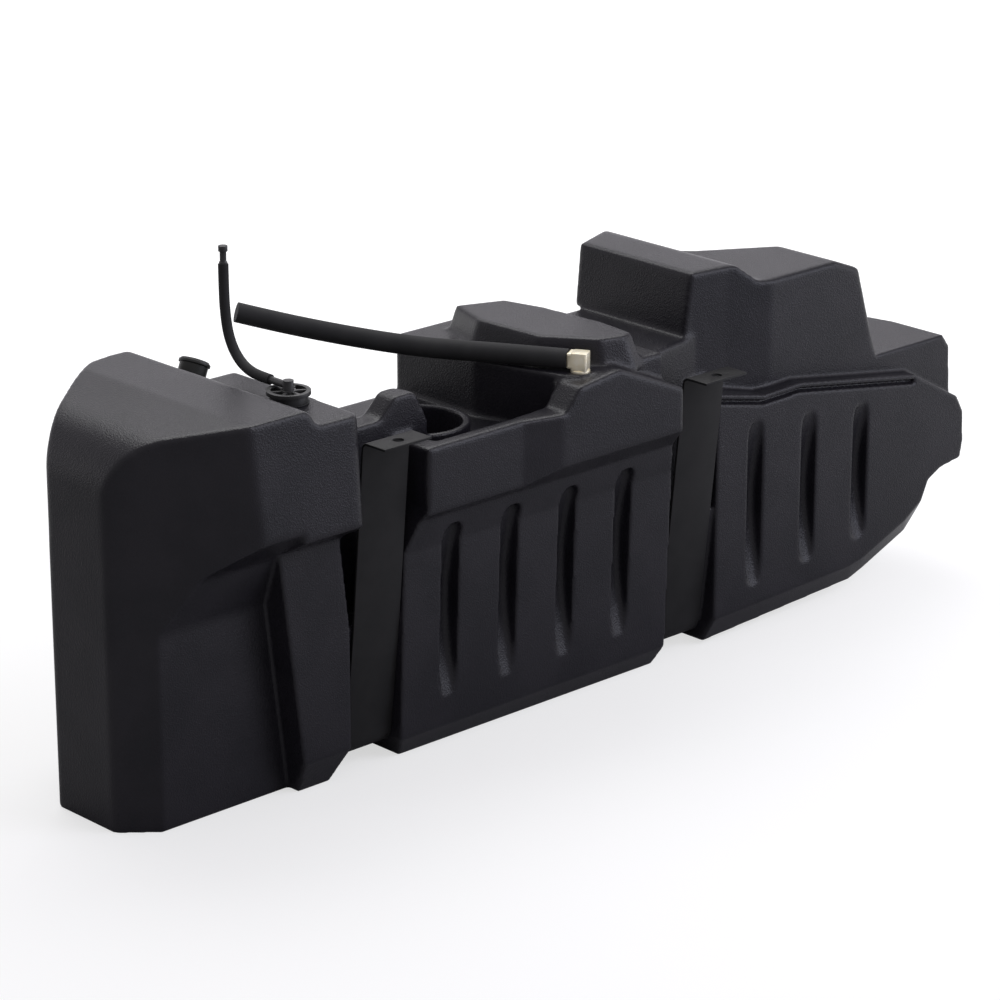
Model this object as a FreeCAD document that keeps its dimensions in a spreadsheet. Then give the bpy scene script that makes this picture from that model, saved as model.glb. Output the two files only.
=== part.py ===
import FreeCAD, Part
import Sketcher
import math
import os
import re
from FreeCAD import Placement, Rotation, Vector

# Plastic fuel tank of a pickup truck, slung along a frame rail by two steel straps.
# X runs along the tank, -Y is the ribbed side with the strap lugs, Z is up.
# All sizes are millimetres, measured from the lower front corner of the middle block.

SIZES = {
    # end lobe: the tall block at -X
    "lobe_left": -405, "lobe_left_front": 54, "lobe_left_rear": 165,
    "lobe_face_left": -265, "lobe_right": -104, "front_upper": -66, "front_lean": 0.064,
    "lobe_rear_left": -300, "lobe_rear_left_depth": 244, "lobe_rear_mid": -250,
    "lobe_rear_mid_depth": 276, "lobe_rear_flat": -215, "lobe_rear_right": -182,
    "lobe_rear_depth": 282,
    "lobe_rear_shoulder": 178, "lobe_top": 506, "roof_bend": -275, "roof_end": 482,
    "shelf_top": 485, "strip_right": -184, "strip_step": 12, "roof_radius": 75,
    "lobe_corner": 16,
    "pocket_top": 440, "arch_plane": 16, "arch_bottom": 250, "arch_mid_depth": -17,
    "arch_mid_height": 320, "arch_top": 360, "arch_step_left": -228, "arch_step_right": -202,
    "arch_step_drop": 13,
    # foot below the lobe, beside the first strap
    "foot_left_bottom": -167, "foot_left_top": -206, "foot_top": 322, "foot_face": -22,
    "foot_right": -96, "foot_right_top": -110, "foot_chamfer": 20, "foot_chamfer_height": 44,
    # middle block
    "mid_left": -12, "mid_right": 456, "mid_right_in": 6, "mid_face_bottom": -18, "mid_face_top": -27,
    "mid_face_height": 276, "chamfer_height": 29, "cove_depth": -40, "cove_height": 318,
    "ledge_height": 345, "band_left": 8, "band_left_height": 335, "band_right": 437,
    "band_jog_left": 166, "band_jog_right": 222, "band_low_depth": -50, "rim_width": 22,
    "well_left": 38, "rim_left": 413,
    "rim_step_left": 226, "rim_step_right": 252, "rim_step_top": 442, "rim_peak_at": 322,
    "rim_peak": 451, "rim_right": 402, "mid_rear": 250, "rear_face": 215,
    # spine behind the strap grooves
    "groove_fold": 200, "groove_bottom": 24, "groove_bottom_depth": 4, "groove_fold_depth": -16,
    "groove_deep": 15, "groove_chamfer": 15, "well_floor": 372, "spine_left": -125, "spine_right": 560,
    # neck with the first saddle
    "neck_rear": 50, "neck_slope": 24, "neck_valley": 438, "neck_hump": 463, "neck_hump_left": 14,
    "neck_hump_right": 48, "neck_right": 82,
    # hump beside the sender well
    "hump_left": 222, "hump_corner_depth": 100, "hump_front_left": 254, "hump_front": -22,
    "hump_nose": 14, "hump_front_depth": -46, "hump_rear_cut": 60,
    "hump_right": 418, "hump_top": 449, "cap_at": 320, "cap_depth": 84, "cap_width": 110,
    "cap_length": 248, "cap_top": 483, "cap_sink": 12, "cap_spread": 13,
    # second saddle and right block
    "saddle_floor": 430, "saddle_front": -4, "saddle_left": 400,
    "tower_left": 538, "tower_lean": 13, "tower_top": 515, "tower_strip_right": 612,
    "tower_step_right": 650, "tower_step_round": 28,
    "tower_second_top": 486, "tower_second_right": 797, "tower_corner": 843,
    "tower_corner_height": 468, "tower_foot": 884, "tower_face_left": 22, "tower_face_bend": 14,
    "tower_bend_at": 597, "tower_face_right": 0, "tower_face_at": 668, "tower_rear_left": 220,
    "tower_rear_peak_at": 616, "tower_rear_peak": 260, "tower_rear_second_at": 702,
    "tower_rear_second": 172, "tower_rear_third": 114,
    "shelf_right": 1038, "shelf_height": 336, "shelf_slope": 14, "shelf_slope_height": 18,
    "shelf_side": 1046, "shelf_rear": 135,
    "plate_left": 546, "plate_face": -22, "plate_bottom_left": 43, "plate_chamfer_left": 6,
    "plate_low_at": 818, "plate_low": 52, "plate_turn_at": 846, "plate_turn": 58,
    "plate_slope_at": 931, "plate_slope": 91, "plate_hip_at": 964, "plate_hip": 112,
    "plate_knee_at": 977, "plate_knee": 139, "plate_step_at": 1002, "plate_step": 151,
    "plate_tip_at": 1045, "plate_tip": 157, "plate_right": 1050, "plate_corner": 181,
    "plate_end": 226, "plate_end_in": 3, "plate_chamfer_out": 21, "plate_chamfer_drop": 32,
    "lip_left_height": 358, "lip_mid_at": 636, "lip_mid_height": 338,
    "lip_shelf_at": 705, "lip_shelf_height": 340, "lip_knee_at": 941, "lip_knee_height": 301,
    "lip_end_at": 1033, "lip_end_height": 250, "plate_rear": 190,
    "lip_band": 7, "lip_channel": 6, "lip_channel_depth": 9,
    # pressed ribs
    "rib_width": 29, "rib_depth": 20, "rib_round": 9,
    "rib_tool": 80, "rib_first": 66, "rib_pitch": 100.3, "rib_bottom": 57, "rib_top": 301,
    "rib_right_first": 621, "rib_right_pitch": 105, "rib_right_bottom": 69, "rib_right_top": 309,
    "rib_right_rise": 8, "rib_right_fall": 11,
    # moulded edges
    "soft_round": 14, "spare": 30,
    # sender ring in the well
    "ring_at": 101, "ring_depth": 72, "ring_outer": 132, "ring_inner": 113, "ring_height": 30,
    "ring_bore_depth": 30,
    # straps
    "strap_width": 75, "strap_thickness": 3, "strap_first": -51, "strap_second": 499,
    "strap_gap": 1, "strap_bend": 8, "strap_lug": 40, "strap_lug_depth": -40,
    "strap_first_top": 440, "strap_second_top": 403, "strap_hole": 14, "strap_foot_round": 22,
    "strap_fold_round": 12,
    "strap_rear_top": 360,
    # roll-over vent valve
    "valve_at": -138, "valve_depth": 36, "valve_stem": 34, "valve_stem_length": 28,
    "valve_flange": 46, "valve_flange_height": 9, "seal_thickness": 1.5, "seal_diameter": 50,
    "lock_outer": 54, "lock_inner": 43, "lock_height": 5, "lock_spoke": 4, "lock_eye": 19,
    "hub_diameter": 13, "hub_height": 17, "nipple_height": 10, "nipple_diameter": 9,
    "nipple_reach": 33,
    "seat_clearance": 0.3,
    # vent elbow
    "elbow_at": 284, "elbow_depth": -30, "elbow_square": 21, "elbow_chamfer": 3,
    "elbow_axis": 463, "elbow_reach": 16, "insert_diameter": 25, "insert_height": 8,
    "insert_stem": 20, "insert_stem_length": 22, "elbow_turn": 120,
    # hoses
    "vent_hose_diameter": 26, "vent_line_diameter": 13,
    "connector_collar": 10.5, "connector_neck": 8.2, "connector_head": 11.6,
    "connector_collar_height": 3, "connector_neck_height": 13, "connector_head_height": 7,
    # filler neck
    "filler_at": -166, "filler_depth": 206, "filler_tilt": 30, "filler_turn": 17,
    "filler_outer": 36, "filler_bore": 31, "filler_reach": 65, "filler_root": 30,
    "filler_bead": 40, "filler_bead_height": 4, "filler_boss": 50, "filler_boss_height": 14,
}

doc = FreeCAD.newDocument("PickupFuelTank")
sheet = doc.addObject("Spreadsheet::Sheet", "Sizes")
for row, (name, value) in enumerate(SIZES.items(), start=1):
    sheet.set(f"A{row}", name)
    sheet.set(f"B{row}", str(value))
    sheet.setAlias(f"B{row}", name)
doc.recompute()


def bound(text):
    """The expression with each size read from the sheet."""
    return re.sub(r"[a-z_]+", lambda m: "Sizes." + m.group() if m.group() in SIZES else m.group(), text)


def number(text):
    """The present value of an expression in sheet sizes."""
    return float(sheet.evalExpression(str(text)))


CENTRE_X = "-(lobe_left + plate_right) / 2"
CENTRE_Y = "-(strap_lug_depth - strap_lug + lobe_rear_depth) / 2"


def place(thing, x="0", y="0", z="0"):
    """Binds where an object stands to the sheet."""
    for axis, text in zip("xyz", (x, y, z)):
        thing.setExpression(f"Placement.Base.{axis}", bound(text))
    return thing


TURNS = {"XY": Rotation(), "XZ": Rotation(Vector(1, 0, 0), 90), "YZ": Rotation(Vector(1, 1, 1), 120)}


def sketch(name, plane, corners, at):
    """A closed outline of straight lines; each corner is a pair of expressions."""
    outline = doc.addObject("Sketcher::SketchObject", name)
    points = [Vector(number(u), number(v), 0) for u, v in corners]
    for i, start in enumerate(points):
        outline.addGeometry(Part.LineSegment(start, points[(i + 1) % len(points)]), False)
    for i, (u, v) in enumerate(corners):
        outline.addConstraint(Sketcher.Constraint("Coincident", i, 2, (i + 1) % len(points), 1))
        for kind, text, value in (("DistanceX", u, points[i].x), ("DistanceY", v, points[i].y)):
            index = outline.addConstraint(Sketcher.Constraint(kind, -1, 1, i, 1, value))
            outline.setExpression(f"Constraints[{index}]", bound(text))
    outline.Placement = Placement(Vector(), TURNS[plane])
    offset = {"XY": ("0", "0", at), "XZ": ("0", at, "0"), "YZ": (at, "0", "0")}[plane]
    return place(outline, *offset)


def prism(name, plane, corners, start, end):
    """The outline carried from start to end along the third axis."""
    base = sketch(name + "_outline", plane, corners, end if plane == "XZ" else start)
    block = doc.addObject("Part::Extrusion", name)
    block.Base = base
    block.DirMode = "Normal"
    block.setExpression("LengthFwd", bound(f"({end}) - ({start})"))
    block.Solid = True
    return block


def loft(name, sections):
    """A ruled solid through outlines that have as many corners each."""
    body = doc.addObject("Part::Loft", name)
    body.Sections = sections
    body.Solid = True
    body.Ruled = True
    return body


def joined(name, *pieces):
    whole = doc.addObject("Part::MultiFuse", name)
    whole.Shapes = list(pieces)
    whole.Refine = True
    return whole


def common(name, *pieces):
    whole = doc.addObject("Part::MultiCommon", name)
    whole.Shapes = list(pieces)
    whole.Refine = True
    return whole


def cut(name, base, *tools):
    tool = tools[0] if len(tools) == 1 else joined(name + "_tools", *tools)
    rest = doc.addObject("Part::Cut", name)
    rest.Base = base
    rest.Tool = tool
    rest.Refine = True
    return rest


def rounded(name, base, radius, wanted):
    """Rounds the edges of the base that the test picks."""
    doc.recompute()
    size = number(radius)
    picked = [(i, size, size) for i, edge in enumerate(base.Shape.Edges, start=1) if wanted(edge)]
    fillet = doc.addObject("Part::Fillet", name)
    fillet.Base = base
    fillet.Edges = picked
    return fillet


def cylinder(name, diameter, height, x="0", y="0", z="0"):
    rod = doc.addObject("Part::Cylinder", name)
    rod.setExpression("Radius", bound(f"({diameter}) / 2"))
    rod.setExpression("Height", bound(height))
    return place(rod, x, y, z)


def span(edge):
    box = edge.BoundBox
    return box.XLength, box.YLength, box.ZLength


def upright(edge):
    x, y, z = span(edge)
    return z > 1 and math.hypot(x, y) < 0.3 * z


def level(edge):
    return span(edge)[2] < 0.01


def every(edge):
    return True


parts = {}


def finish(label, thing):
    """Names a finished piece and moves it into the tank's own frame."""
    thing.Label = label
    place(thing, CENTRE_X, CENTRE_Y)
    parts[label] = thing
    return thing


# End lobe: an upright block with a diagonal face toward the front, a big round over its end
# and a lower shelf for the valve.
lobe_plan = prism("LobePlan", "XY", [
    ("lobe_left", "lobe_left_front"),
    ("lobe_face_left + (lobe_face_left - lobe_left) / 5",
     "front_upper - (lobe_left_front - front_upper) / 5"),
    ("lobe_right", "front_upper - (lobe_left_front - front_upper) / 5"),
    ("lobe_right", "lobe_rear_shoulder"),
    ("lobe_rear_right", "lobe_rear_depth"), ("lobe_rear_flat", "lobe_rear_depth"),
    ("lobe_rear_mid", "lobe_rear_mid_depth"),
    ("lobe_rear_left", "lobe_rear_left_depth"), ("lobe_left", "lobe_left_rear")],
    "0", "lobe_top + spare")
lobe_front = prism("LobeFront", "YZ", [
    ("front_upper - front_lean * arch_top", "0"),
    ("front_upper + front_lean * (lobe_top + spare - arch_top)", "lobe_top + spare"),
    ("lobe_rear_depth + spare", "lobe_top + spare"), ("lobe_rear_depth + spare", "0")],
    "lobe_left - spare", "lobe_right + spare")
lobe_walls = common("LobeWalls", lobe_plan, lobe_front)
lobe_post = rounded("LobePost", lobe_walls, "lobe_corner", upright)
roof_block = prism("RoofBlock", "XZ", [
    ("lobe_left", "-spare"), ("lobe_left", "roof_end"), ("roof_bend", "lobe_top"),
    ("strip_right", "lobe_top"), ("strip_right + strip_step", "shelf_top"),
    ("lobe_right", "shelf_top"), ("lobe_right", "-spare")],
    "front_upper - spare", "lobe_rear_depth + spare")


def roof_end(edge):
    x, y, z = span(edge)
    centre = edge.BoundBox.Center
    return y > 100 and centre.x < number("lobe_left + 1") and centre.z > 100


def roof_step(edge):
    centre = edge.BoundBox.Center
    return span(edge)[1] > 100 and number("strip_right - 1") < centre.x < number("lobe_right")


roof = rounded("Roof", roof_block, "roof_radius", roof_end)
roof_soft = rounded("RoofSoft", roof, "soft_round", roof_step)
lobe_block = common("LobeBlock", lobe_post, roof_soft)


def cove_tool(name, top, start, end):
    """What lies under the overhang: a wall that curves forward as it rises."""
    tool = prism(name, "YZ", [
        ("arch_plane", "-spare"), ("arch_plane", "arch_bottom"),
        ("arch_mid_depth", "arch_mid_height"), ("front_upper", top),
        ("front_upper - spare", f"{top} + spare / 2"), ("front_upper - spare", "-spare")], start, end)

    def bend(edge):
        centre = edge.BoundBox.Center
        return span(edge)[0] > 10 and number("arch_bottom - 1") < centre.z < number("arch_top - 1")
    return rounded(name + "Soft", tool, "soft_round * 2.5", bend)


cove_left = cove_tool("CoveLeft", "arch_top", "lobe_left - spare", "arch_step_right")
cove_right = cove_tool("CoveRight", "arch_top - arch_step_drop", "arch_step_left", "lobe_right + spare")
fuel_pocket = prism("FillerPocket", "XY", [
    ("strip_right", "lobe_rear_shoulder"), ("lobe_right + spare", "lobe_rear_shoulder"),
    ("lobe_right + spare", "lobe_rear_depth + spare"), ("strip_right", "lobe_rear_depth + spare")],
    "pocket_top", "lobe_top + spare")
lobe = cut("Lobe", lobe_block, cove_left, cove_right, fuel_pocket)

foot_outline = prism("FootOutline", "XZ", [
    ("foot_left_bottom", "0"), ("foot_left_top", "foot_top"), ("foot_right_top", "foot_top"),
    ("foot_right", "groove_fold"), ("foot_right", "foot_chamfer_height"),
    ("foot_right - foot_chamfer", "0")],
    "foot_face - spare", "arch_plane + spare")
foot_section = prism("FootSection", "YZ", [
    ("foot_face + foot_chamfer", "0"), ("foot_face", "foot_chamfer_height"),
    ("foot_face", "foot_top"), ("arch_plane + spare", "foot_top"), ("arch_plane + spare", "0")],
    "foot_left_top - spare", "foot_right + spare")
foot_block = common("FootBlock", foot_outline, foot_section)

# Spine: the body behind the strap grooves, flush behind each strap up to its fold.
spine = prism("Spine", "YZ", [
    ("groove_bottom_depth + groove_chamfer", "groove_bottom"),
    ("groove_bottom_depth", "groove_bottom + groove_chamfer"),
    ("groove_fold_depth", "groove_fold"), ("groove_deep", "groove_fold + 3"),
    ("groove_deep", "well_floor"), ("rear_face", "well_floor"),
    ("rear_face", "groove_bottom + groove_chamfer"),
    ("rear_face - groove_chamfer", "groove_bottom")], "spine_left", "spine_right")

# Middle block: leaning ribbed face, cove below the ledge, and a rim that steps up to the right.
mid_section = prism("MidSection", "YZ", [
    ("0", "0"), ("mid_face_bottom", "chamfer_height"), ("mid_face_top", "mid_face_height"),
    ("cove_depth", "cove_height"), ("front_upper", "ledge_height"),
    ("front_upper", "rim_peak + spare"), ("mid_rear", "rim_peak + spare"),
    ("mid_rear", "chamfer_height"), ("mid_rear - chamfer_height", "0")],
    "mid_left - spare", "mid_right + spare")
mid_outline = prism("MidOutline", "XZ", [
    ("0", "0"), ("mid_left", "chamfer_height"), ("mid_left", "mid_face_height"),
    ("band_left", "band_left_height"), ("band_left", "rim_left"), ("rim_step_left", "rim_left"),
    ("rim_step_right", "rim_step_top"), ("rim_peak_at", "rim_peak"), ("band_right", "rim_right"),
    ("band_right", "ledge_height"), ("mid_right", "mid_face_height"),
    ("mid_right", "chamfer_height"), ("mid_right - mid_right_in", "0")],
    "front_upper - spare", "mid_rear + spare")
mid_jog = prism("MidJog", "XY", [
    ("mid_left - spare", "band_low_depth"), ("band_jog_left", "band_low_depth"),
    ("band_jog_right", "front_upper"), ("band_jog_right", "front_upper - spare"),
    ("mid_left - spare", "front_upper - spare")], "-spare", "rim_peak + spare")
mid_well = prism("MidWell", "XY", [
    ("well_left", "band_low_depth + rim_width"), ("band_jog_left", "band_low_depth + rim_width"),
    ("hump_front_left", "hump_front"), ("mid_right + spare", "hump_front"),
    ("mid_right + spare", "mid_rear + spare"), ("mid_left - spare", "mid_rear + spare"),
    ("mid_left - spare", "neck_rear"), ("well_left", "neck_rear")],
    "well_floor", "rim_peak + spare")
mid_body = cut("MidBody", common("MidBlock", mid_section, mid_outline), mid_jog, mid_well)

# Neck between lobe and middle block, with the saddle the first strap crosses.
neck_block = prism("NeckBlock", "XZ", [
    ("spine_left", "well_floor - spare"), ("spine_left", "shelf_top - 2"),
    ("lobe_right - 2", "shelf_top - 2"), ("lobe_right + neck_slope", "neck_valley"),
    ("neck_hump_left - neck_slope", "neck_valley"), ("neck_hump_left", "neck_hump"),
    ("neck_hump_right", "neck_hump"), ("neck_right - neck_slope / 2", "rim_left"),
    ("neck_right", "well_floor - spare")], "groove_deep", "neck_rear")


def valley(edge):
    centre = edge.BoundBox.Center
    return span(edge)[1] > 20 and centre.z > number("rim_left - 1") and centre.x > number("lobe_right")


neck = rounded("Neck", neck_block, "soft_round", valley)

# Hump between the sender well and the second saddle, with a faceted cap.
hump_block = prism("HumpBlock", "XY", [
    ("hump_left", "mid_rear"), ("hump_left", "hump_corner_depth"),
    ("hump_front_left", "hump_front"), ("hump_front_left + hump_nose", "hump_front_depth"),
    ("hump_right", "hump_front_depth"), ("hump_right", "rear_face"),
    ("hump_right - hump_rear_cut", "mid_rear")],
    "well_floor - spare", "hump_top")

# Corners of the cap as shares of its width and length, from its middle.
CAP = [(-0.27, 0.50), (-0.49, 0.22), (-0.43, -0.21), (-0.02, -0.46), (0.29, -0.50),
       (0.45, -0.48), (0.51, -0.24), (0.44, 0.17), (0.31, 0.40)]


def cap_outline(name, spread, height):
    corners = [(f"cap_at + {x} * (cap_width + {spread})", f"cap_depth + {y} * (cap_length + {spread})")
               for x, y in CAP]
    return sketch(name, "XY", corners, height)


cap = loft("HumpCap", [cap_outline("CapFoot", "2 * cap_spread", "hump_top - cap_sink"),
                       cap_outline("CapTop", "0", "cap_top")])

# Second saddle and the right block above the lip.
saddle = prism("Saddle", "XY", [
    ("saddle_left", "saddle_front"), ("plate_left + spare", "saddle_front + spare"),
    ("plate_left + spare", "rear_face"), ("saddle_left", "rear_face")],
    "well_floor - spare", "saddle_floor")
tower_block = prism("TowerBlock", "XZ", [
    ("plate_left", "groove_fold"), ("plate_left", "saddle_floor"),
    ("tower_left - tower_lean", "saddle_floor"), ("tower_left", "tower_top"),
    ("tower_strip_right", "tower_top"),
    ("tower_step_right", "tower_second_top"), ("tower_second_right", "tower_second_top"),
    ("tower_corner", "tower_corner_height"), ("tower_foot", "shelf_height"),
    ("tower_foot", "groove_fold")],
    "plate_face - spare", "tower_rear_peak + spare")


def tower_step(edge):
    centre = edge.BoundBox.Center
    across = number("tower_strip_right - 1") < centre.x < number("tower_step_right + 1")
    return across and span(edge)[1] > 100 and centre.z > number("tower_second_top - 1")


tower_outline = rounded("TowerOutline", tower_block, "tower_step_round", tower_step)
tower_plan = prism("TowerPlan", "XY", [
    ("tower_left - spare", "tower_face_left"), ("tower_left", "tower_face_left"),
    ("tower_bend_at", "tower_face_bend"), ("tower_face_at", "tower_face_right"),
    ("tower_foot + spare", "tower_face_right"), ("tower_foot + spare", "tower_rear_third - spare"),
    ("tower_second_right", "tower_rear_third"), ("tower_rear_second_at", "tower_rear_second"),
    ("tower_rear_peak_at", "tower_rear_peak"), ("tower_left - spare", "tower_rear_left")],
    "groove_fold", "tower_top + spare")
tower = common("Tower", tower_outline, tower_plan)
shelf_plan = prism("ShelfPlan", "XY", [
    ("tower_foot - spare", "tower_face_right"), ("shelf_side", "tower_face_right"),
    ("shelf_side - spare", "shelf_rear"), ("tower_foot - spare", "plate_rear")],
    "groove_fold", "shelf_height")
shelf_side = prism("ShelfSide", "XZ", [
    ("tower_foot - spare", "groove_fold"), ("tower_foot - spare", "shelf_height"),
    ("shelf_right - shelf_slope", "shelf_height"),
    ("shelf_right", "shelf_height - shelf_slope_height"), ("shelf_side", "groove_fold")],
    "tower_face_right - spare", "plate_rear + spare")
shelf = common("Shelf", shelf_plan, shelf_side)

# Ribbed plate of the right block: two outlines, the rear one lower, make its bottom chamfer.
PLATE_TOP = [("lip_end_at", "lip_end_height"), ("lip_knee_at", "lip_knee_height"),
             ("lip_shelf_at", "lip_shelf_height"), ("lip_mid_at", "lip_mid_height"),
             ("plate_left", "lip_left_height")]
PLATE_END = [("plate_right", "plate_corner"), ("plate_right - plate_end_in", "plate_end")]
plate_names = ["plate_low", "plate_turn", "plate_slope", "plate_hip", "plate_knee", "plate_step",
               "plate_tip"]
chamfer_shares = [(1, 1), (1, 0.9), (1.1, 0.85), (1, 0.55), (0.7, 0.3), (0.4, 0.1), (0, 0.05)]
plate_front = ([("plate_left", "plate_bottom_left")] + [(f"{name}_at", name) for name in plate_names]
               + PLATE_END + PLATE_TOP)
plate_rear = ([("plate_left", "plate_chamfer_left")]
              + [(f"{name}_at + {out} * plate_chamfer_out", f"{name} - {down} * plate_chamfer_drop")
                 for name, (out, down) in zip(plate_names, chamfer_shares)]
              + PLATE_END + PLATE_TOP)
plate_nose = loft("PlateNose", [sketch("PlateFrontOutline", "XZ", plate_front, "plate_face"),
                                sketch("PlateRearOutline", "XZ", plate_rear, "0")])
plate_body = prism("PlateBody", "XZ", plate_rear, "-0.01", "plate_rear")


def lowered(points, drop):
    return [(x, f"{z} - ({drop})") for x, z in points]


channel = prism("LipChannel", "XZ",
                lowered(PLATE_TOP[1:], "lip_band") + lowered(PLATE_TOP[1:], "lip_band + lip_channel")[::-1],
                "plate_face - spare", "plate_face + lip_channel_depth")
plate = cut("Plate", joined("PlateWhole", plate_nose, plate_body), channel)


def rib(name, x, bottom, top, face):
    """A pressed rib: a slot with round ends whose floor is an arc, deepest half way up."""
    slot = doc.addObject("Part::Box", name + "Slot")
    slot.setExpression("Length", bound("rib_width"))
    slot.setExpression("Width", bound("rib_tool"))
    slot.setExpression("Height", bound(f"({top}) - ({bottom})"))
    place(slot, f"{x} - rib_width / 2", f"({face}) - rib_tool / 2", bottom)
    ends = rounded(name + "Ends", slot, "rib_width / 2 - 0.01",
                   lambda edge: span(edge)[1] > number("rib_tool - 1"))
    half = f"((({top}) - ({bottom})) / 2)"
    radius = f"(({half} * {half} + rib_depth * rib_depth) / (2 * rib_depth))"
    disc = cylinder(name + "Disc", f"2 * {radius}", "rib_width * 2")
    disc.Placement = Placement(Vector(), Rotation(Vector(0, 1, 0), 90))
    place(disc, f"{x} - rib_width", f"({face}) + rib_depth - {radius}", f"({bottom}) + {half}")
    tool = common(name + "Tool", ends, disc)

    def floor(edge):
        box = edge.BoundBox
        return box.YMin > number(face) - 5 and box.YLength > 1
    return rounded(name, tool, "rib_round", floor)


ribs = []
for i in range(4):
    ribs.append(rib(f"Rib{i + 1}", f"rib_first + {i} * rib_pitch", "rib_bottom", "rib_top",
                    "(mid_face_bottom + mid_face_top) / 2"))
for i in range(3):
    ribs.append(rib(f"RightRib{i + 1}", f"rib_right_first + {i} * rib_right_pitch",
                    f"rib_right_bottom + {i} * rib_right_rise",
                    f"rib_right_top - {i} * rib_right_fall", "plate_face"))

ring_out = cylinder("RingOut", "ring_outer", "ring_height", "ring_at", "ring_depth", "well_floor")
ring_bore = cylinder("RingBore", "ring_inner", "ring_height + ring_bore_depth", "ring_at",
                     "ring_depth", "well_floor - ring_bore_depth")
ring_room = cylinder("RingRoom", "ring_outer", "shelf_top - well_floor", "ring_at", "ring_depth",
                     "well_floor + ring_height")
valve_bore = cylinder("ValveBore", "valve_stem + 2 * seat_clearance", "valve_stem_length + 10",
                      "valve_at", "valve_depth", "shelf_top - valve_stem_length - 1")
insert_bore = cylinder("InsertBore", "insert_stem", "insert_stem_length + spare", "elbow_at",
                       "elbow_depth", "rim_step_top - insert_stem_length")


def leaning(name, diameter, start, length):
    """A rod along the filler's axis, from a distance start above the pocket floor."""
    tilt, turn = math.radians(number("filler_tilt")), math.radians(number("filler_turn"))
    axis = Vector(math.sin(tilt) * math.cos(turn), math.sin(tilt) * math.sin(turn), math.cos(tilt))
    foot = Vector(number("filler_at"), number("filler_depth"), number("pocket_top"))
    rod = cylinder(name, diameter, length)
    for axis_name in "xyz":
        rod.setExpression(f"Placement.Base.{axis_name}", None)
    rod.Placement = Placement(foot + axis * number(start), Rotation(Vector(0, 0, 1), axis))
    return rod


filler_boss = leaning("FillerBoss", "filler_boss", "-filler_root", "filler_root + filler_boss_height")
filler_seat = leaning("FillerSeat", "filler_outer + 2 * seat_clearance", "-filler_root",
                      "filler_root + filler_reach")
insert_spot = cylinder("InsertSpot", "insert_diameter + 2 * seat_clearance", "spare", "elbow_at",
                       "elbow_depth", "rim_step_top + 1")

tank_blocks = joined("TankBlocks", lobe, foot_block, spine, mid_body, neck, hump_block, cap,
                     saddle, tower, shelf, plate, ring_out, filler_boss)
tank = cut("Tank", tank_blocks, ring_bore, ring_room, valve_bore, filler_seat, insert_bore,
           insert_spot, *ribs)
finish("tank_shell", tank)


def route(points, radii):
    """Straight runs joined by tangent arcs, one radius for each inner point."""
    edges, start = [], points[0]
    for before, corner, after, radius in zip(points, points[1:], points[2:], radii):
        back, ahead = (before - corner).normalize(), (after - corner).normalize()
        half = (math.pi - back.getAngle(ahead)) / 2
        reach = radius * math.tan(half)
        first, last = corner + back * reach, corner + ahead * reach
        middle = corner + (back + ahead).normalize() * radius * (1 / math.cos(half) - 1)
        edges += [Part.LineSegment(start, first).toShape(), Part.Arc(first, middle, last).toShape()]
        start = last
    return edges + [Part.LineSegment(start, points[-1]).toShape()]


def beside(points, distance):
    """The same path in the YZ plane, moved sideways by a distance."""
    moved = []
    for i, point in enumerate(points):
        before, after = points[max(i - 1, 0)], points[min(i + 1, len(points) - 1)]
        one = (point - before).normalize() if i else (after - point).normalize()
        two = (after - point).normalize() if i < len(points) - 1 else one
        side = Vector(0, -one.z, one.y) + Vector(0, -two.z, two.y)
        moved.append(point + side * (distance / (1 + one.dot(two))))
    return moved


# Straps: flat steel bent round the tank, a lug with one hole at each end.
def strap(label, middle, top):
    half = number("strap_thickness") / 2
    off = half + number("strap_gap")
    rear = number("rear_face") + off
    low = number("groove_bottom") - off
    path = [Vector(0, number("strap_lug_depth - strap_lug"), number(top)),
            Vector(0, number("strap_lug_depth"), number(top)),
            Vector(0, number("groove_fold_depth") - off, number("groove_fold")),
            Vector(0, number("groove_bottom_depth") - off, low),
            Vector(0, rear, low), Vector(0, rear, number("strap_rear_top")),
            Vector(0, rear + number("strap_lug"), number("strap_rear_top"))]
    bends = [number(r) for r in ("strap_bend", "strap_fold_round", "strap_foot_round",
                                 "strap_foot_round", "strap_bend")]
    turns = [1, -1, -1, -1, 1]
    outer = route(beside(path, half), [r + half * t for r, t in zip(bends, turns)])
    inner = route(beside(path, -half), [r - half * t for r, t in zip(bends, turns)])
    ends = [Part.LineSegment(a, b).toShape() for a, b in
            ((beside(path, half)[0], beside(path, -half)[0]),
             (beside(path, half)[-1], beside(path, -half)[-1]))]
    outline = Part.Face(Part.Wire(Part.__sortEdges__(outer + inner + ends)))
    blank = doc.addObject("Part::Feature", label + "_blank")
    blank.Shape = outline.extrude(Vector(number("strap_width"), 0, 0))
    blank.Placement = Placement(Vector(number(middle) - number("strap_width") / 2, 0, 0), Rotation())
    holes = [cylinder(label + "_hole", "strap_hole", "20", middle,
                      "strap_lug_depth - strap_lug / 2 - 2", f"{top} - 10"),
             cylinder(label + "_rear_hole", "strap_hole", "20", middle,
                      "rear_face + strap_gap + strap_lug / 2 + 4", "strap_rear_top - 10")]
    finish(label, cut(label + "_cut", blank, *holes))


strap("front_strap", "strap_first", "strap_first_top")
strap("rear_strap", "strap_second", "strap_second_top")

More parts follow.
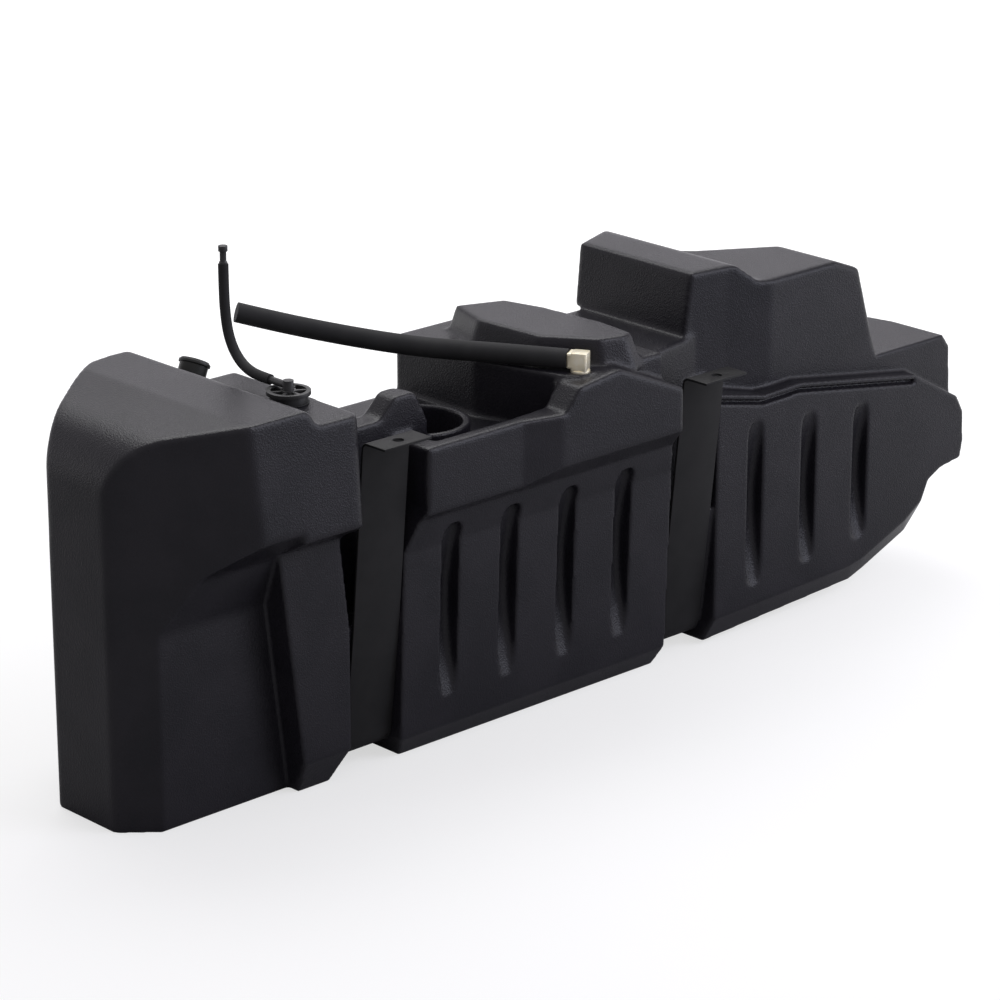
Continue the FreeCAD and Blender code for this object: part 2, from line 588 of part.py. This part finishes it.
# Roll-over vent valve: a capsule hung through the shelf, its seal, and a spoked lock ring.
seal_ring = cylinder("SealRing", "seal_diameter", "seal_thickness", "valve_at", "valve_depth", "shelf_top")
seal_hole = cylinder("SealHole", "valve_stem + 2 * seat_clearance", "seal_thickness + 2", "valve_at",
                     "valve_depth", "shelf_top - 1")
finish("valve_seal", cut("ValveSeal", seal_ring, seal_hole))
stem = cylinder("ValveStem", "valve_stem", "valve_stem_length + seal_thickness", "valve_at",
                "valve_depth", "shelf_top - valve_stem_length")
flange = cylinder("ValveFlange", "valve_flange", "valve_flange_height", "valve_at", "valve_depth",
                  "shelf_top + seal_thickness")
flange_top = "shelf_top + seal_thickness + valve_flange_height"
hub = cylinder("ValveHub", "hub_diameter", "hub_height + 1", "valve_at", "valve_depth",
               f"{flange_top} - 1")
nipple = cylinder("ValveNipple", "nipple_diameter", "nipple_reach")
nipple.Placement = Placement(Vector(), Rotation(Vector(1, 0, 0), -90))
place(nipple, "valve_at", "valve_depth", f"{flange_top} + nipple_height")
finish("valve_body", joined("ValveBody", stem, flange, hub, nipple))

ring_disc = cylinder("LockDisc", "lock_outer", "lock_height", "valve_at", "valve_depth", flange_top)
ring_gap = cylinder("LockGap", "lock_inner", "lock_height + 2", "valve_at", "valve_depth",
                    f"{flange_top} - 1")
ring_eye = cylinder("LockEye", "lock_eye", "lock_height", "valve_at", "valve_depth", flange_top)
spokes = []
for i in range(3):
    spoke = doc.addObject("Part::Box", f"LockSpoke{i + 1}")
    spoke.setExpression("Length", bound("lock_outer - 4"))
    spoke.setExpression("Width", bound("lock_spoke"))
    spoke.setExpression("Height", bound("lock_height - 1"))
    turn = Rotation(Vector(0, 0, 1), 30 + 60 * i)
    corner = turn.multVec(Vector(-number("lock_outer - 4") / 2, -number("lock_spoke") / 2, 0))
    spoke.Placement = Placement(Vector(), turn)
    place(spoke, f"valve_at + {corner.x}", f"valve_depth + {corner.y}", flange_top)
    spokes.append(spoke)
eye_hole = cylinder("LockEyeHole", "hub_diameter + 2 * seat_clearance", "lock_height + 2", "valve_at",
                    "valve_depth", f"{flange_top} - 1")
finish("valve_lock_ring", cut("LockRing", joined("LockWheel", cut("LockRim", ring_disc, ring_gap),
                                                 ring_eye, *spokes), eye_hole))

# Vent elbow: a brass insert moulded into the rim carries a square-bodied brass elbow.
insert_collar = cylinder("InsertCollar", "insert_diameter", "insert_height", "elbow_at",
                         "elbow_depth", "rim_step_top + 1")
insert_stem = cylinder("InsertStem", "insert_stem - 2 * seat_clearance", "insert_stem_length + 1.5",
                       "elbow_at", "elbow_depth", "rim_step_top - insert_stem_length")
finish("vent_insert", joined("VentInsert", insert_collar, insert_stem))


def elbow_box(name, length, back, low, height):
    """A square block of the elbow, turned toward the hose."""
    block = doc.addObject("Part::Box", name)
    block.setExpression("Length", bound(length))
    block.setExpression("Width", bound("elbow_square"))
    block.setExpression("Height", bound(height))
    turn = Rotation(Vector(0, 0, 1), number("elbow_turn"))
    corner = turn.multVec(Vector(-number(back), -number("elbow_square") / 2, 0))
    block.Placement = Placement(Vector(), turn)
    return place(block, f"elbow_at + {corner.x}", f"elbow_depth + {corner.y}", low)


elbow_post = elbow_box("ElbowPost", "elbow_square", "elbow_square / 2",
                       "rim_step_top + 1 + insert_height",
                       "elbow_axis + elbow_square / 2 - rim_step_top - 1 - insert_height")
elbow_leg = elbow_box("ElbowLeg", "elbow_square / 2 + elbow_reach", "elbow_square / 2",
                      "elbow_axis - elbow_square / 2", "elbow_square")
elbow_head = rounded("ElbowHead", elbow_leg, "elbow_chamfer", every)
elbow_neck = rounded("ElbowNeck", elbow_post, "elbow_chamfer", upright)
finish("vent_elbow", joined("VentElbow", elbow_neck, elbow_head))

# Filler neck: a beaded tube that leans out of the pocket behind the shelf.
neck_tube = leaning("NeckTube", "filler_outer", "-filler_root", "filler_root + filler_reach")
neck_bead = leaning("NeckBead", "filler_bead", "filler_reach - filler_bead_height - 2",
                    "filler_bead_height")
neck_bore = leaning("NeckBore", "filler_bore", "-filler_root + 3", "filler_root + filler_reach")
finish("filler_neck", cut("FillerNeck", joined("NeckWhole", neck_tube, neck_bead), neck_bore))


# Hoses: straight runs joined by arcs as large as the runs allow.
def hose(label, diameter, points):
    points = [Vector(*p) for p in points]
    radii = []
    for before, corner, after in zip(points, points[1:], points[2:]):
        half = (math.pi - (before - corner).getAngle(after - corner)) / 2
        radii.append(0.45 * min((corner - before).Length, (after - corner).Length) / math.tan(half))
    path = Part.Wire(route(points, radii))
    start = Part.Circle(points[0], points[1] - points[0], number(diameter) / 2).toShape()
    tube = doc.addObject("Part::Feature", label + "_tube")
    tube.Shape = path.makePipeShell([Part.Wire(start)], True, True)
    section = math.pi * number(diameter) ** 2 / 4
    print(f"{label}: length {path.Length:.0f}, radii {[round(r) for r in radii]},",
          f"volume ratio {tube.Shape.Volume / (section * path.Length):.4f}")
    finish(label, tube)


heading = math.radians(number("elbow_turn"))
hose_start = (number("elbow_at") + number("elbow_reach") * math.cos(heading),
              number("elbow_depth") + number("elbow_reach") * math.sin(heading), number("elbow_axis"))
hose("vent_hose", "vent_hose_diameter", [
    hose_start, (hose_start[0] - 43, hose_start[1] + 43 * math.sqrt(3), hose_start[2]),
    (189, 125, 463), (156, 166, 467), (115, 208, 476), (68, 250, 489), (28, 281, 502), (0, 300, 512)])
line_start = (number("valve_at"), number("valve_depth + nipple_reach"),
              number(f"{flange_top} + nipple_height"))
line_end = (-130, 163, 628)
hose("vent_line", "vent_line_diameter", [
    line_start, (line_start[0], 93, line_start[2]), (-136, 114, 508), (-134, 132, 515.5),
    (-132.5, 146, 528), (-131.5, 155, 544), (-131, 159.5, 563), (line_end[0], line_end[1], 588), line_end])

collar = cylinder("ConnectorCollar", "connector_collar", "connector_collar_height")
connector_neck = cylinder("ConnectorNeck", "connector_neck", "connector_neck_height",
                          "0", "0", "connector_collar_height")
connector_head = cylinder("ConnectorHead", "connector_head", "connector_head_height",
                          "0", "0", "connector_collar_height + connector_neck_height")
connector = joined("QuickConnect", collar, connector_neck, connector_head)
finish("quick_connect", connector)
place(connector, f"{CENTRE_X} + ({line_end[0]})", f"{CENTRE_Y} + ({line_end[1]})", str(line_end[2]))

doc.recompute()
for thing in doc.Objects:
    if "Invalid" in thing.State or "Error" in thing.State:
        raise RuntimeError(f"{thing.Name} did not compute: {thing.State}")
os.makedirs("parts", exist_ok=True)
for label, thing in parts.items():
    shape = thing.Shape
    if shape.isNull() or not shape.isValid():
        raise RuntimeError(f"{label} has no valid shape")
    box = shape.BoundBox
    print(f"{label}: {len(shape.Solids)} solid(s), {shape.Volume / 1e6:.3f} dm3,",
          f"{box.XMin:.0f}..{box.XMax:.0f} {box.YMin:.0f}..{box.YMax:.0f} {box.ZMin:.0f}..{box.ZMax:.0f}")
    shape.exportStep(f"parts/{label}.step")
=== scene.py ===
import math

import bmesh
import bpy
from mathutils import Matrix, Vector


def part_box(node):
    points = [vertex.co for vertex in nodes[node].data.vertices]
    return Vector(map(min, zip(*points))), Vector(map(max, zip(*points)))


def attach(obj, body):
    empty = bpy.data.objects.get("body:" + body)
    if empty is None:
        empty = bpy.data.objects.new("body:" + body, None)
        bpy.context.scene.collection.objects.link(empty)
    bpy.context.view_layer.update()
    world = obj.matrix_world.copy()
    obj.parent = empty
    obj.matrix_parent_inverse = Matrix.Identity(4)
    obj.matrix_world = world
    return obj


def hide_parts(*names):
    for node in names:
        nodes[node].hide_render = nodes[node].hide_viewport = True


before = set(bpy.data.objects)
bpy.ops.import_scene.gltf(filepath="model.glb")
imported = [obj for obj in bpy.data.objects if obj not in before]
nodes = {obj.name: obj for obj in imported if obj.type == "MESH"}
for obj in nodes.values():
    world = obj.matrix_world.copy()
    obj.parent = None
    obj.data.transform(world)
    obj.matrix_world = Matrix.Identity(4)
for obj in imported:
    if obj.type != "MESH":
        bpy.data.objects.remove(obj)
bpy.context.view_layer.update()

# Studio: a white sweep under three soft boxes. The camera stands low to the left of the tank's
# ribbed side and looks along it with a long lens.
scene = bpy.context.scene
scene.view_settings.view_transform = "Standard"

camera = bpy.data.objects.new("camera", bpy.data.cameras.new("camera"))
scene.collection.objects.link(camera)
camera.data.lens = 136.8
camera.data.sensor_width = 36
camera.location = (-3.2336, -3.3752, 1.8670)
view_line = Vector((0.6474, 0.6871, -0.3297))
camera.rotation_euler = view_line.to_track_quat("-Z", "Y").to_euler()
scene.camera = camera


class Field:
    """A socket that takes part in sums, so that shader maths reads as an expression."""

    def __init__(self, tree, socket):
        self.tree = tree
        self.socket = socket

    def node(self, kind, settings=None, **values):
        """A new node's outputs, once its settings are made and its sockets are filled or linked."""
        made = self.tree.nodes.new("ShaderNode" + kind)
        for name, value in (settings or {}).items():
            setattr(made, name, value)
        for name, value in values.items():
            if name.startswith("input"):
                target = made.inputs[int(name[5:])]
            else:
                target = made.inputs[name.replace("_", " ").title()]
            if isinstance(value, Field):
                self.tree.links.new(value.socket, target)
            else:
                target.default_value = value
        return [Field(self.tree, out) for out in made.outputs]

    def maths(self, operation, other, swapped=False):
        pair = (other, self) if swapped else (self, other)
        return self.node("Math", {"operation": operation}, input0=pair[0], input1=pair[1])[0]

    def __add__(self, other):
        return self.maths("ADD", other)

    def __rsub__(self, other):
        return self.maths("SUBTRACT", other, swapped=True)

    def __mul__(self, other):
        return self.maths("MULTIPLY", other)

    __radd__ = __add__
    __rmul__ = __mul__

    def ramp(self, low, high):
        """0 below low, 1 above high, and smooth between."""
        return self.node("MapRange", {"interpolation_type": "SMOOTHSTEP"}, value=self,
                         from_min=low, from_max=high)[0]


def material(name, roughness, metallic=0.0, specular=0.5):
    """A new material, its surface node and the piece's own coordinates in metres."""
    made = bpy.data.materials.new(name)
    made.use_nodes = True
    surface = made.node_tree.nodes["Principled BSDF"]
    surface.inputs["Roughness"].default_value = roughness
    surface.inputs["Metallic"].default_value = metallic
    surface.inputs["Specular IOR Level"].default_value = specular
    place = made.node_tree.nodes.new("ShaderNodeTexCoord").outputs["Object"]
    return made, surface, Field(made.node_tree, place)


def link(value, surface, socket):
    value.tree.links.new(value.socket, surface.inputs[socket])


def seen(tree):
    """1 for a ray that leaves the camera, and 1 for a reflected or refracted one."""
    ray = tree.nodes.new("ShaderNodeLightPath").outputs
    mirrored = Field(tree, ray["Is Glossy Ray"]) + Field(tree, ray["Is Transmission Ray"])
    return Field(tree, ray["Is Camera Ray"]), mirrored


def along(place, direction):
    return place.node("VectorMath", {"operation": "DOT_PRODUCT"}, input0=place, input1=direction)[1]


# Floor: a pale matt sweep that keeps the tank's shadow. The camera sees it as white, and more of
# that white is its own beyond the tank, where the lamps fade. Gloss mirrors only that far part.
BEYOND = Vector((view_line.x, view_line.y, 0)).normalized()
FLOOR_GREY = 0.36
NEAR_WHITE = 0.62
FAR_WHITE = 0.95
MIRRORED_WHITE = 0.85

floor_finish, floor_surface, floor_place = material("white_sweep", 0.9)
bpy.ops.mesh.primitive_plane_add(size=40, location=(0, 0, 0))
floor = bpy.context.object
floor.name = "floor"
floor.data.materials.append(floor_finish)
floor_surface.inputs["Base Color"].default_value = (FLOOR_GREY, FLOOR_GREY, FLOOR_GREY, 1)
floor_surface.inputs["Emission Strength"].default_value = 1
looked_at, mirrored = seen(floor_finish.node_tree)
far = along(floor_place, BEYOND)
own_white = far.ramp(-0.5, 2.5) * (FAR_WHITE - NEAR_WHITE) + NEAR_WHITE
link(looked_at * own_white + mirrored * far.ramp(0.1, 1.2) * MIRRORED_WHITE, floor_surface,
     "Emission Color")

# Room: a plain soft light from all round, and a low white backdrop beyond the tank, which shines at
# full white only in gloss.
ROOM_LIGHT = 0.5
BACKDROP_LIGHT = 0.4

world = bpy.data.worlds.new("soft_room")
scene.world = world
world.use_nodes = True
room = world.node_tree.nodes["Background"]
room.inputs["Color"].default_value = (0.97, 0.945, 1, 1)
looked_at, mirrored = seen(world.node_tree)
direction = Field(world.node_tree,
                  world.node_tree.nodes.new("ShaderNodeTexCoord").outputs["Generated"])
height = along(direction, (0, 0, 1))
backdrop = along(direction, BEYOND).ramp(-0.1, 0.5) * (1 - height.ramp(0.08, 0.56))
level = backdrop * BACKDROP_LIGHT + ROOM_LIGHT
up_to_white = (looked_at + mirrored * backdrop) * (1 - BACKDROP_LIGHT - ROOM_LIGHT)
link(level + up_to_white, room, "Strength")


def softbox(name, place, aim, size, power, colour=(1, 1, 1)):
    lamp = bpy.data.lights.new(name, "AREA")
    lamp.shape = "RECTANGLE"
    lamp.size, lamp.size_y = size
    lamp.energy = power
    lamp.color = colour
    holder = bpy.data.objects.new(name, lamp)
    scene.collection.objects.link(holder)
    holder.location = place
    holder.rotation_euler = (Vector(aim) - Vector(place)).to_track_quat("-Z", "Y").to_euler()


softbox("top_box", (0.6, 1.2, 3.0), (0, 0, 0.3), (3.0, 2.0), 60)
softbox("side_box", (2.2, -2.6, 0.9), (0, 0, 0.25), (1.6, 1.4), 22, (0.82, 0.85, 1.0))
softbox("front_box", (0.9, -2.1, 2.0), (0.2, -0.5, 0.1), (1.6, 1.4), 26, (0.88, 0.88, 1.0))


# Tank: one hollow moulding of black polyethylene. The mould rounds every edge and leaves a fine
# pebble grain on the outside, so the surface is dull and slightly blue.
TANK_DARK = (0.0100, 0.0095, 0.0125)
TANK_LIGHT = (0.0140, 0.0130, 0.0165)
GRAIN_PITCH = 0.0019
GRAIN_DEPTH = 0.001


def mottled(place, scale, low, high):
    """A colour that wanders between two others in soft patches of about 1 / scale metres."""
    patch = place.node("TexNoise", None, vector=place, scale=scale, detail=4)[0].ramp(0.35, 0.65)
    return place.node("Mix", {"data_type": "RGBA"}, input0=patch, input6=(*low, 1),
                      input7=(*high, 1))[2]


def bumped(place, height, strength, distance, surface):
    normal = place.node("Bump", None, height=height, strength=strength, distance=distance)[0]
    link(normal, surface, "Normal")


tank_finish, tank_surface, tank_place = material("moulded_polyethylene", 0.3, specular=0.3)
link(mottled(tank_place, 14, TANK_DARK, TANK_LIGHT), tank_surface, "Base Color")
grain = tank_place.node("TexVoronoi", {"feature": "SMOOTH_F1"}, vector=tank_place,
                        scale=1 / GRAIN_PITCH)[0]
fine_grain = tank_place.node("TexNoise", None, vector=tank_place, scale=2 / GRAIN_PITCH,
                             detail=2)[0]
bumped(tank_place, grain * 0.7 + fine_grain * 0.5, 0.5, GRAIN_DEPTH, tank_surface)
wear = tank_place.node("TexNoise", None, vector=tank_place, scale=9, detail=5)[0]
link(wear * 0.1 + 0.25, tank_surface, "Roughness")

# Places on the tank are measured from the lower front corner of its middle block. The end lobe
# reaches left of that corner, and the front strap's lug reaches in front of it.
LOBE_REACH = 0.405
LUG_REACH = 0.080
block_corner = Vector((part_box("tank_shell")[0][0] + LOBE_REACH,
                       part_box("front_strap")[0][1] + LUG_REACH, 0))

# The mould is sharp at its details and softest at the upper rims. LIP is the top line of the side
# plate, as x and z. The sharp spots are the sender ring and the seats of the valve, the elbow and
# the filler neck, each with its reach.
LIP = [(0.546, 0.358), (0.636, 0.338), (0.705, 0.340), (0.941, 0.301), (1.033, 0.250)]
LIP_OVERRUN = 0.01
ABOVE_LIP = -0.006
BELOW_LIP = 0.026
LIP_SOFTNESS = 0.08
SHARP_SPOTS = [((0.101, 0.072, 0.392), 0.085), ((-0.138, 0.036, 0.485), 0.034),
               ((0.284, -0.030, 0.442), 0.020), ((-0.166, 0.206, 0.440), 0.040)]
SPOT_SOFTNESS = 0.1
LEAST_SOFTNESS = 0.08
RIMS_START = 0.335
RIMS_BLEND = 0.020


def softness(point):
    """How much the mould rounds the surface here, from 0 to 1."""
    for (x, z), (far_x, far_z) in zip(LIP, LIP[1:]):
        share = min(max((point.x - x) / (far_x - x), 0), 1)
        drop = z + share * (far_z - z) - point.z
        beside = x - LIP_OVERRUN < point.x < far_x + LIP_OVERRUN
        if beside and point.y < 0.0 and ABOVE_LIP < drop < BELOW_LIP:
            return LIP_SOFTNESS
    for middle, reach in SHARP_SPOTS:
        if (point - Vector(middle)).length < reach:
            return SPOT_SOFTNESS
    return min(max((point.z - RIMS_START) / RIMS_BLEND, LEAST_SOFTNESS), 1.0)


def select_only(piece):
    bpy.ops.object.select_all(action="DESELECT")
    piece.select_set(True)
    bpy.context.view_layer.objects.active = piece


def merged_copy(node, name):
    """The piece's own mesh over again, with its loose triangles joined at their corners."""
    mesh = nodes[node].data.copy()
    mesh.materials.clear()
    copy = bpy.data.objects.new(name, mesh)
    scene.collection.objects.link(copy)
    shape = bmesh.new()
    shape.from_mesh(mesh)
    bmesh.ops.remove_doubles(shape, verts=shape.verts, dist=1e-6)
    shape.to_mesh(mesh)
    shape.free()
    select_only(copy)
    return copy


def apply_modifier(piece, kind, **settings):
    select_only(piece)
    modifier = piece.modifiers.new(kind.lower(), kind)
    for name, value in settings.items():
        setattr(modifier, name, value)
    bpy.ops.object.modifier_apply(modifier=modifier.name)


def fit(piece, finish, node):
    """The finished piece stands for its node and rides with the tank."""
    piece.data.materials.append(finish)
    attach(piece, "root")
    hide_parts(node)


VOXEL = 0.0023
TANK_TRIANGLES = 190000

tank = merged_copy("tank_shell", "tank")
apply_modifier(tank, "REMESH", mode="VOXEL", voxel_size=VOXEL)
apply_modifier(tank, "SMOOTH", factor=0.5, iterations=3)
soft = tank.vertex_groups.new(name="soft")
for vertex in tank.data.vertices:
    soft.add([vertex.index], softness(vertex.co - block_corner), "REPLACE")
apply_modifier(tank, "SMOOTH", factor=0.5, iterations=24, vertex_group="soft")
apply_modifier(tank, "DECIMATE", ratio=min(1, TANK_TRIANGLES / (2 * len(tank.data.polygons))))
tank.vertex_groups.clear()
bpy.ops.object.shade_smooth()
fit(tank, tank_finish, "tank_shell")


# Straps: flat steel strip with a smooth matte black coat, bent round the tank, each with a lug and
# a bolt hole at both ends.
def softened(node, name, width, angle=30):
    """A copy of a piece whose edges sharper than the angle carry a small round."""
    copy = merged_copy(node, name)
    apply_modifier(copy, "DECIMATE", decimate_type="DISSOLVE", angle_limit=math.radians(0.5))
    apply_modifier(copy, "BEVEL", width=width, segments=3, limit_method="ANGLE",
                   angle_limit=math.radians(angle))
    bpy.ops.object.shade_smooth_by_angle(angle=math.radians(angle + 10))
    return copy


strap_finish, strap_surface, strap_place = material("black_coated_steel", 0.5, specular=0.2)
link(mottled(strap_place, 30, (0.0120, 0.0118, 0.0120), (0.0145, 0.0142, 0.0144)), strap_surface,
     "Base Color")
coat = strap_place.node("TexNoise", None, vector=strap_place, scale=500, detail=3)[0]
bumped(strap_place, coat, 0.15, 0.0002, strap_surface)
for node in ("front_strap", "rear_strap"):
    fit(softened(node, node + "_coated", 0.0006), strap_finish, node)


# Roll-over vent valve: a black plastic capsule hung through the shelf on a rubber seal and held by
# a spoked ring.
valve_finish, valve_surface, valve_place = material("valve_plastic", 0.4)
link(mottled(valve_place, 80, (0.022, 0.022, 0.022), (0.030, 0.030, 0.030)), valve_surface,
     "Base Color")
moulding = valve_place.node("TexNoise", None, vector=valve_place, scale=900, detail=2)[0]
bumped(valve_place, moulding, 0.1, 0.0002, valve_surface)
fit(softened("valve_body", "vent_valve", 0.0007), valve_finish, "valve_body")
fit(softened("valve_lock_ring", "valve_ring", 0.0007), valve_finish, "valve_lock_ring")

seal_finish, seal_surface, seal_place = material("seal_rubber", 0.7)
link(mottled(seal_place, 60, (0.008, 0.008, 0.008), (0.012, 0.012, 0.012)), seal_surface,
     "Base Color")
fit(softened("valve_seal", "vent_valve_seal", 0.0004), seal_finish, "valve_seal")


# Vent elbow: pale machined brass, screwed into a brass insert that the tank is moulded round. The
# elbow's corners are cut flat, so only its square edges are rounded.
brass_finish, brass_surface, brass_place = material("pale_brass", 0.38, metallic=0.65)
link(mottled(brass_place, 120, (0.92, 0.84, 0.62), (0.96, 0.90, 0.72)), brass_surface,
     "Base Color")
fit(softened("vent_elbow", "brass_elbow", 0.0005, angle=50), brass_finish, "vent_elbow")
fit(softened("vent_insert", "brass_insert", 0.0006), brass_finish, "vent_insert")


# Filler neck: a thin black plastic tube with a bead round its mouth, which a hose clamps over. It
# is a shade greener than the tank.
neck_finish, neck_surface, neck_place = material("filler_plastic", 0.45)
link(mottled(neck_place, 60, (0.013, 0.014, 0.012), (0.018, 0.019, 0.016)), neck_surface,
     "Base Color")
fit(softened("filler_neck", "beaded_filler_neck", 0.0008), neck_finish, "filler_neck")


# Vent hose and vent line: black rubber, stiff enough to stand by themselves. The thick hose is
# pushed against the elbow, and the thin line ends in a plastic quick connector.
hose_finish, hose_surface, hose_place = material("hose_rubber", 0.75, specular=0.3)
link(mottled(hose_place, 25, (0.017, 0.017, 0.0175), (0.022, 0.022, 0.0225)), hose_surface,
     "Base Color")
skin = hose_place.node("TexNoise", None, vector=hose_place, scale=700, detail=3)[0]
bumped(hose_place, skin, 0.2, 0.0002, hose_surface)


def hose(name, node, points, diameter):
    """A smooth tube along points given in millimetres from the middle block's corner."""
    curve = bpy.data.curves.new(name, "CURVE")
    curve.dimensions = "3D"
    curve.bevel_depth = diameter / 2
    curve.bevel_resolution = 12
    curve.resolution_u = 24
    curve.use_fill_caps = True
    spline = curve.splines.new("NURBS")
    spline.points.add(len(points) - 1)
    for point, (x, y, z) in zip(spline.points, points):
        point.co = (*(block_corner + Vector((x, y, z)) / 1000), 1)
    spline.order_u = 3
    spline.use_endpoint_u = True
    piece = bpy.data.objects.new(name, curve)
    scene.collection.objects.link(piece)
    fit(piece, hose_finish, node)


hose("thick_vent_hose", "vent_hose", [
    (276, -16.14, 463), (233, 58.3, 463), (189, 125, 463), (156, 166, 467), (115, 208, 476),
    (68, 250, 489), (28, 281, 502), (0, 300, 512)], 0.026)
connector = softened("quick_connect", "line_connector", 0.0004)
fit(connector, valve_finish, "quick_connect")
hose("thin_vent_line", "vent_line", [
    (-138, 69, 505.5), (-138, 93, 505.5), (-136, 114, 508), (-134, 132, 515.5),
    (-132.5, 146, 528), (-131.5, 155, 544), (-131, 159.5, 563), (-130, 163, 588),
    (-130, 163, 628)], 0.013)
